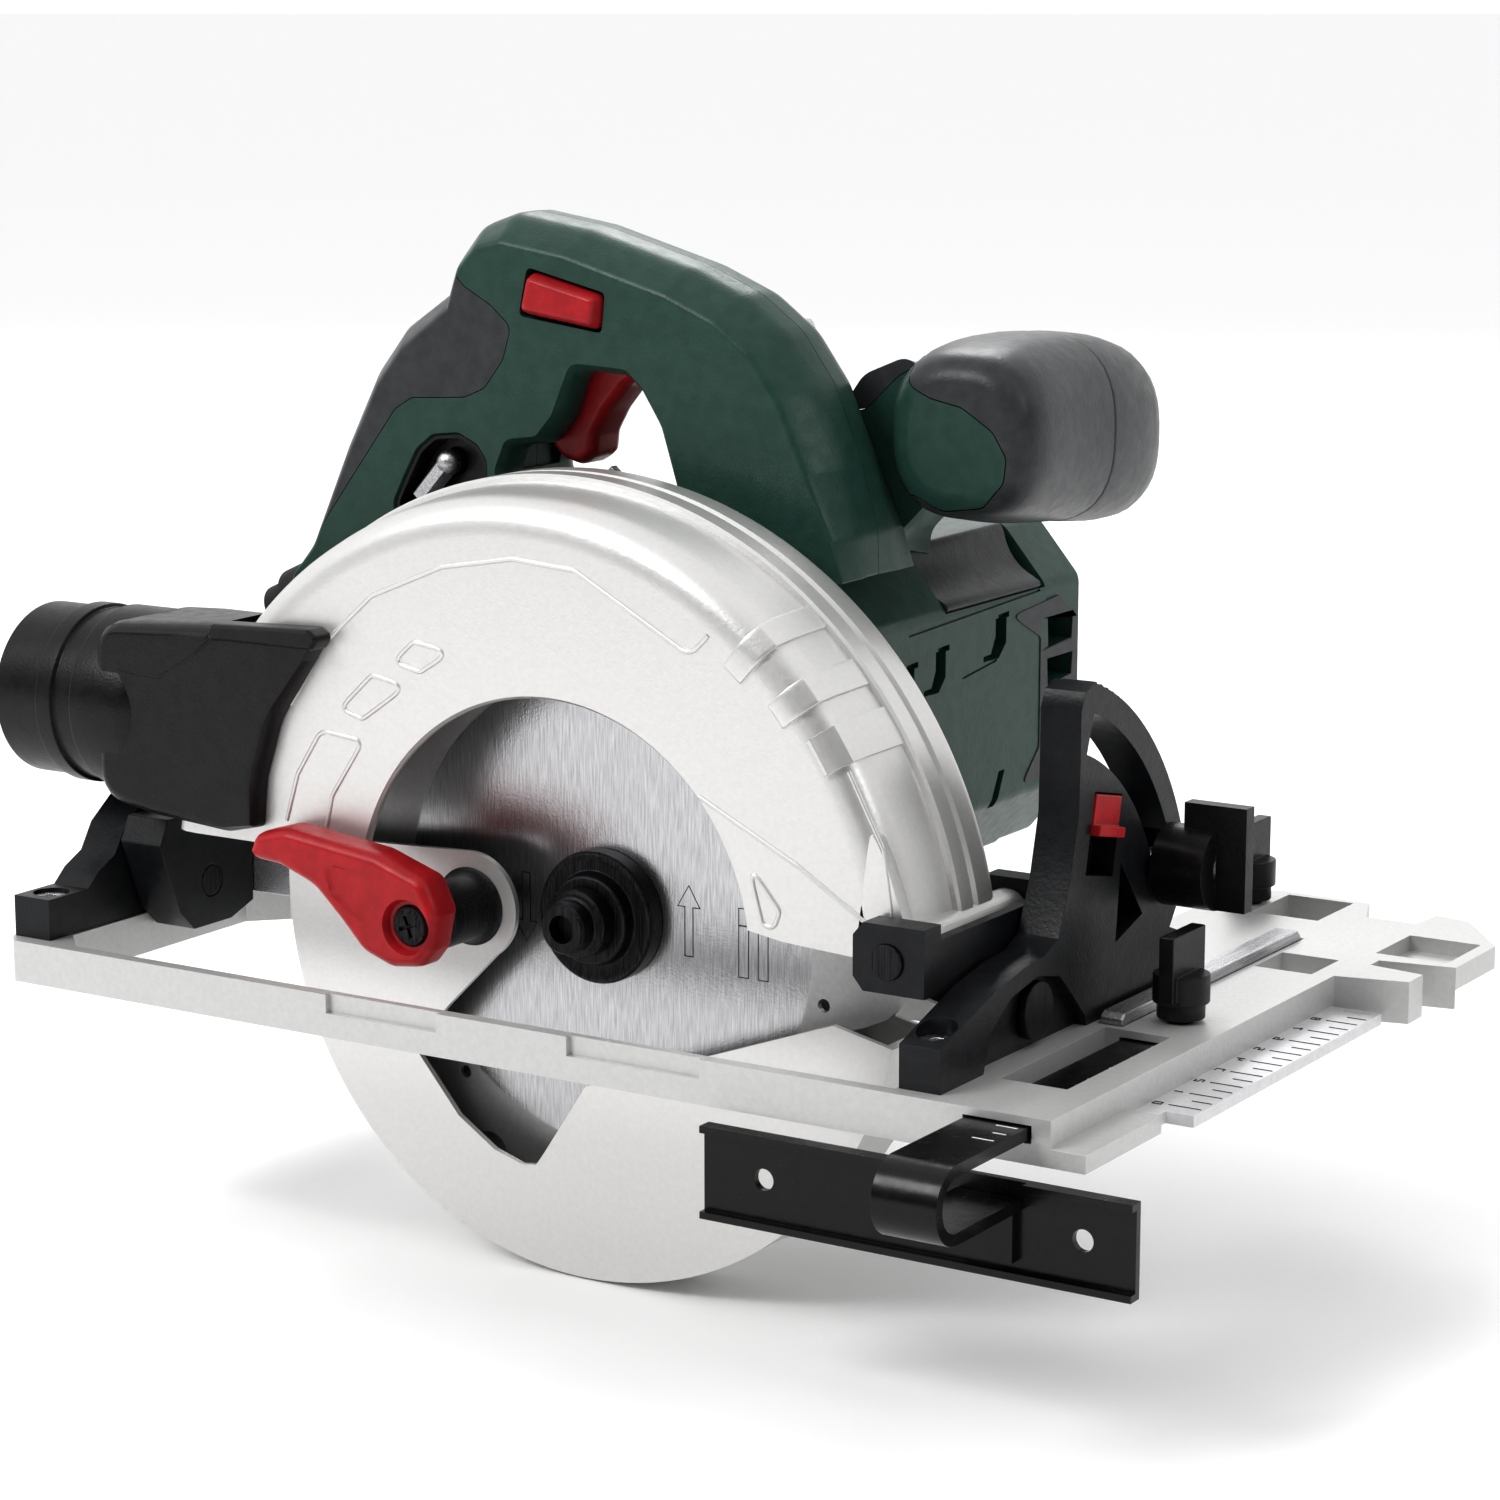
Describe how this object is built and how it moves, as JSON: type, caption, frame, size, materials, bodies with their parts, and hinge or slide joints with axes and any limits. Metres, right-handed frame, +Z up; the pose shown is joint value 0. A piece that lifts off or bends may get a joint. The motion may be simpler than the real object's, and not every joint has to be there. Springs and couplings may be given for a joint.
{
  "type": "hand-held circular saw for a guide rail",
  "caption": "Hand-held circular saw with a tilting, depth-adjustable head, a swinging blade guard, a rip fence and a base that runs on a guide rail.",
  "frame": {"origin": "on the sole plane straight below the arbor, in the plane of the blade, with the blade at full depth and square", "axes": "+X is the cutting direction, +Y points from the blade to the motor along the arbor, +Z is up out of the sole"},
  "size_m": [0.322, 0.2474, 0.2414],
  "materials": {
    "cast_alu": "sand cast and blasted, satin",
    "guard_alu": "die cast, satin",
    "black_bracket": "satin black coating",
    "steel": "ground and plated",
    "scale_alu": "satin with engraved ticks",
    "black_plastic": "fine moulded grain",
    "red_plastic": "moulded",
    "green_plastic": "fine spark-eroded grain",
    "graphite_grip": "soft overmould",
    "laminations": "varnished laminations",
    "brass": "stamped",
    "copper": "turned copper",
    "rubber": "moulded",
    "blade_steel": "ground plate, blasted rim",
    "black_oxide": "black oxide",
    "fence_black": "gloss black coating"
  },
  "bodies": {
    "base": {"base_plate": "cast_alu", "front_quadrant": "black_bracket", "rear_bracket": "black_bracket", "bracket_screws": "steel", "pivot_pins": "steel", "cross_bar": "steel", "cutting_scale": "scale_alu"},
    "tilt_frame": {"tilt_frame_front": "black_bracket", "tilt_frame_rear": "black_bracket", "depth_arc": "steel", "depth_axle": "steel", "bevel_bolt": "steel"},
    "bevel_knob": {"bevel_knob": "black_plastic"},
    "bevel_stop": {"bevel_stop": "red_plastic"},
    "saw": {"upper_guard": "guard_alu", "gear_case": "cast_alu", "motor_housing": "green_plastic", "motor_end_cap": "green_plastic", "stator": "laminations", "brush_holders": "brass", "rotor_bearings": "steel", "spindle_bearings": "steel", "handle_left": "green_plastic", "handle_right": "green_plastic", "handle_screws": "steel", "switch_module": "black_plastic", "neck_bracket": "green_plastic", "front_grip": "graphite_grip", "front_grip_cap": "black_plastic", "front_grip_inlay": "green_plastic", "dust_adapter": "black_plastic", "dust_port": "black_plastic", "cable_gland": "rubber", "guard_screws": "steel", "depth_bolt": "steel", "guard_spring": "steel"},
    "depth_lever": {"depth_lever": "black_plastic"},
    "spindle": {"spindle_shaft": "steel", "output_gear": "steel", "inner_flange": "black_oxide", "outer_flange": "black_oxide", "blade": "blade_steel", "blade_bolt": "black_oxide"},
    "rotor": {"rotor_shaft": "steel", "armature": "laminations", "commutator": "copper", "cooling_fan": "black_plastic"},
    "lower_guard": {"lower_guard": "guard_alu", "lever_boss": "steel", "retract_lever": "red_plastic", "lever_screw": "black_oxide"},
    "trigger": {"trigger": "red_plastic"},
    "lock_button": {"lock_button": "red_plastic"},
    "spindle_lock": {"spindle_lock": "black_plastic"},
    "rip_fence": {"rip_fence": "fence_black"},
    "fence_screw_front": {"fence_screw_front": "black_plastic"},
    "fence_screw_rear": {"fence_screw_rear": "black_plastic"},
    "hex_key": {"hex_key": "steel"}
  },
  "joints": [
    {"name": "bevel_tilt", "type": "hinge", "parent": "base", "child": "tilt_frame", "pos_m": [0.11, 0, 0.018], "axis": [1, 0, 0], "range_deg": [0, 45]},
    {"name": "bevel_knob_turn", "type": "hinge", "parent": "tilt_frame", "child": "bevel_knob", "pos_m": [0.118, 0.05695, 0.03986], "axis": [1, 0, 0], "range_deg": [0, 170]},
    {"name": "bevel_stop_slide", "type": "slide", "parent": "base", "child": "bevel_stop", "axis": [0, -0.2079, -0.9781], "range_m": [0, 0.0085]},
    {"name": "depth_swing", "type": "hinge", "parent": "tilt_frame", "child": "saw", "pos_m": [0.093, 0, 0.033], "axis": [0, 1, 0], "range_deg": [0, 35.5]},
    {"name": "depth_lever_turn", "type": "hinge", "parent": "saw", "child": "depth_lever", "pos_m": [-0.039, 0.021, 0.038], "axis": [0, 1, 0], "range_deg": [0, 35]},
    {"name": "spindle_spin", "type": "hinge", "parent": "saw", "child": "spindle", "pos_m": [0, 0, 0.025], "axis": [0, -1, 0], "continuous": true},
    {"name": "rotor_spin", "type": "hinge", "parent": "saw", "child": "rotor", "pos_m": [0, 0.08, 0.055], "axis": [0, -1, 0], "continuous": true},
    {"name": "lower_guard_swing", "type": "hinge", "parent": "saw", "child": "lower_guard", "pos_m": [0, 0, 0.025], "axis": [0, 1, 0], "range_deg": [0, 110], "stiffness_Nm_per_rad": 0.25, "springref_deg": -40.11},
    {"name": "trigger_pull", "type": "hinge", "parent": "saw", "child": "trigger", "pos_m": [-0.012, 0.04, 0.152], "axis": [0, 1, 0], "range_deg": [0, 10], "stiffness_Nm_per_rad": 1.2, "springref_deg": -6.88},
    {"name": "lock_button_press", "type": "slide", "parent": "saw", "child": "lock_button", "axis": [0, 1, 0], "range_m": [0, 0.0024], "stiffness_N_per_m": 800, "springref_m": -0.001},
    {"name": "spindle_lock_press", "type": "slide", "parent": "saw", "child": "spindle_lock", "axis": [-1, 0, 0], "range_m": [0, 0.0024], "stiffness_N_per_m": 800, "springref_m": -0.001},
    {"name": "fence_slide", "type": "slide", "parent": "base", "child": "rip_fence", "axis": [0, -1, 0], "range_m": [0, 0.08]},
    {"name": "fence_screw_front_turn", "type": "hinge", "parent": "base", "child": "fence_screw_front", "pos_m": [0.1285, 0.036, 0.012], "axis": [0, 0, 1], "range_deg": [0, 180]},
    {"name": "fence_screw_rear_turn", "type": "hinge", "parent": "base", "child": "fence_screw_rear", "pos_m": [0.0925, 0.147, 0.012], "axis": [0, 0, 1], "range_deg": [0, 180]},
    {"name": "hex_key_pull", "type": "slide", "parent": "saw", "child": "hex_key", "axis": [0, -1, 0], "range_m": [0, 0.04]}
  ],
  "couplings": [
    {"joint": "rotor_spin", "follows": "spindle_spin", "ratio": -2.4286}
  ]
}
